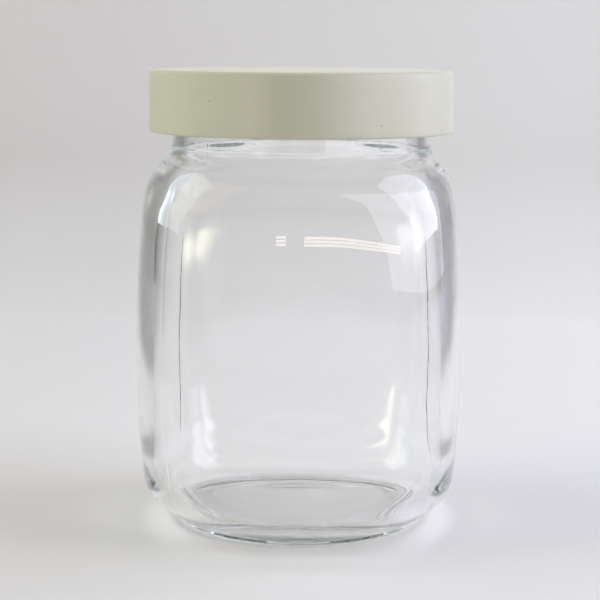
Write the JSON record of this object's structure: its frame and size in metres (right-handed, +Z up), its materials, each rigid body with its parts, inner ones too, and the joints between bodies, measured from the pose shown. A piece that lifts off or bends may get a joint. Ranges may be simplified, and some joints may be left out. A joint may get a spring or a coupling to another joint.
{
  "type": "glass jar with screw lid",
  "caption": "Clear glass jar with a rounded-square body, round foot and round threaded neck, closed by a double-walled cream plastic screw lid with a foam sealing wad.",
  "frame": {"origin": "centre of the foot ring, on the surface the jar stands on", "axes": "+Z up along the axis of neck and lid; -Y is the front face; the flat sides face along X and Y"},
  "size_m": [0.1102, 0.1102, 0.1532],
  "materials": {
    "clear_glass": "clear, glossy, slightly wavy, mould seams at two corners",
    "cream_plastic": "glossy moulded polypropylene, cream",
    "white_plastic": "satin moulded polypropylene, natural white",
    "foam_wad": "fine closed-cell polyethylene foam"
  },
  "bodies": {
    "jar": {"glass_jar": "clear_glass"},
    "wad": {"lid_liner": "foam_wad"},
    "lid": {"lid_shell": "cream_plastic", "lid_inner_cap": "white_plastic"}
  },
  "joints": [
    {"name": "wad_lift", "type": "slide", "parent": "jar", "child": "wad", "axis": [0, 0, 1], "range_m": [0, 0.0254]},
    {"name": "lid_screw", "type": "hinge", "parent": "wad", "child": "lid", "pos_m": [0, 0, 0.1325], "axis": [0, 0, 1], "range_deg": [0, 1800]}
  ],
  "couplings": [
    {"joint": "wad_lift", "follows": "lid_screw", "m_per_rad": 0.0008085}
  ]
}
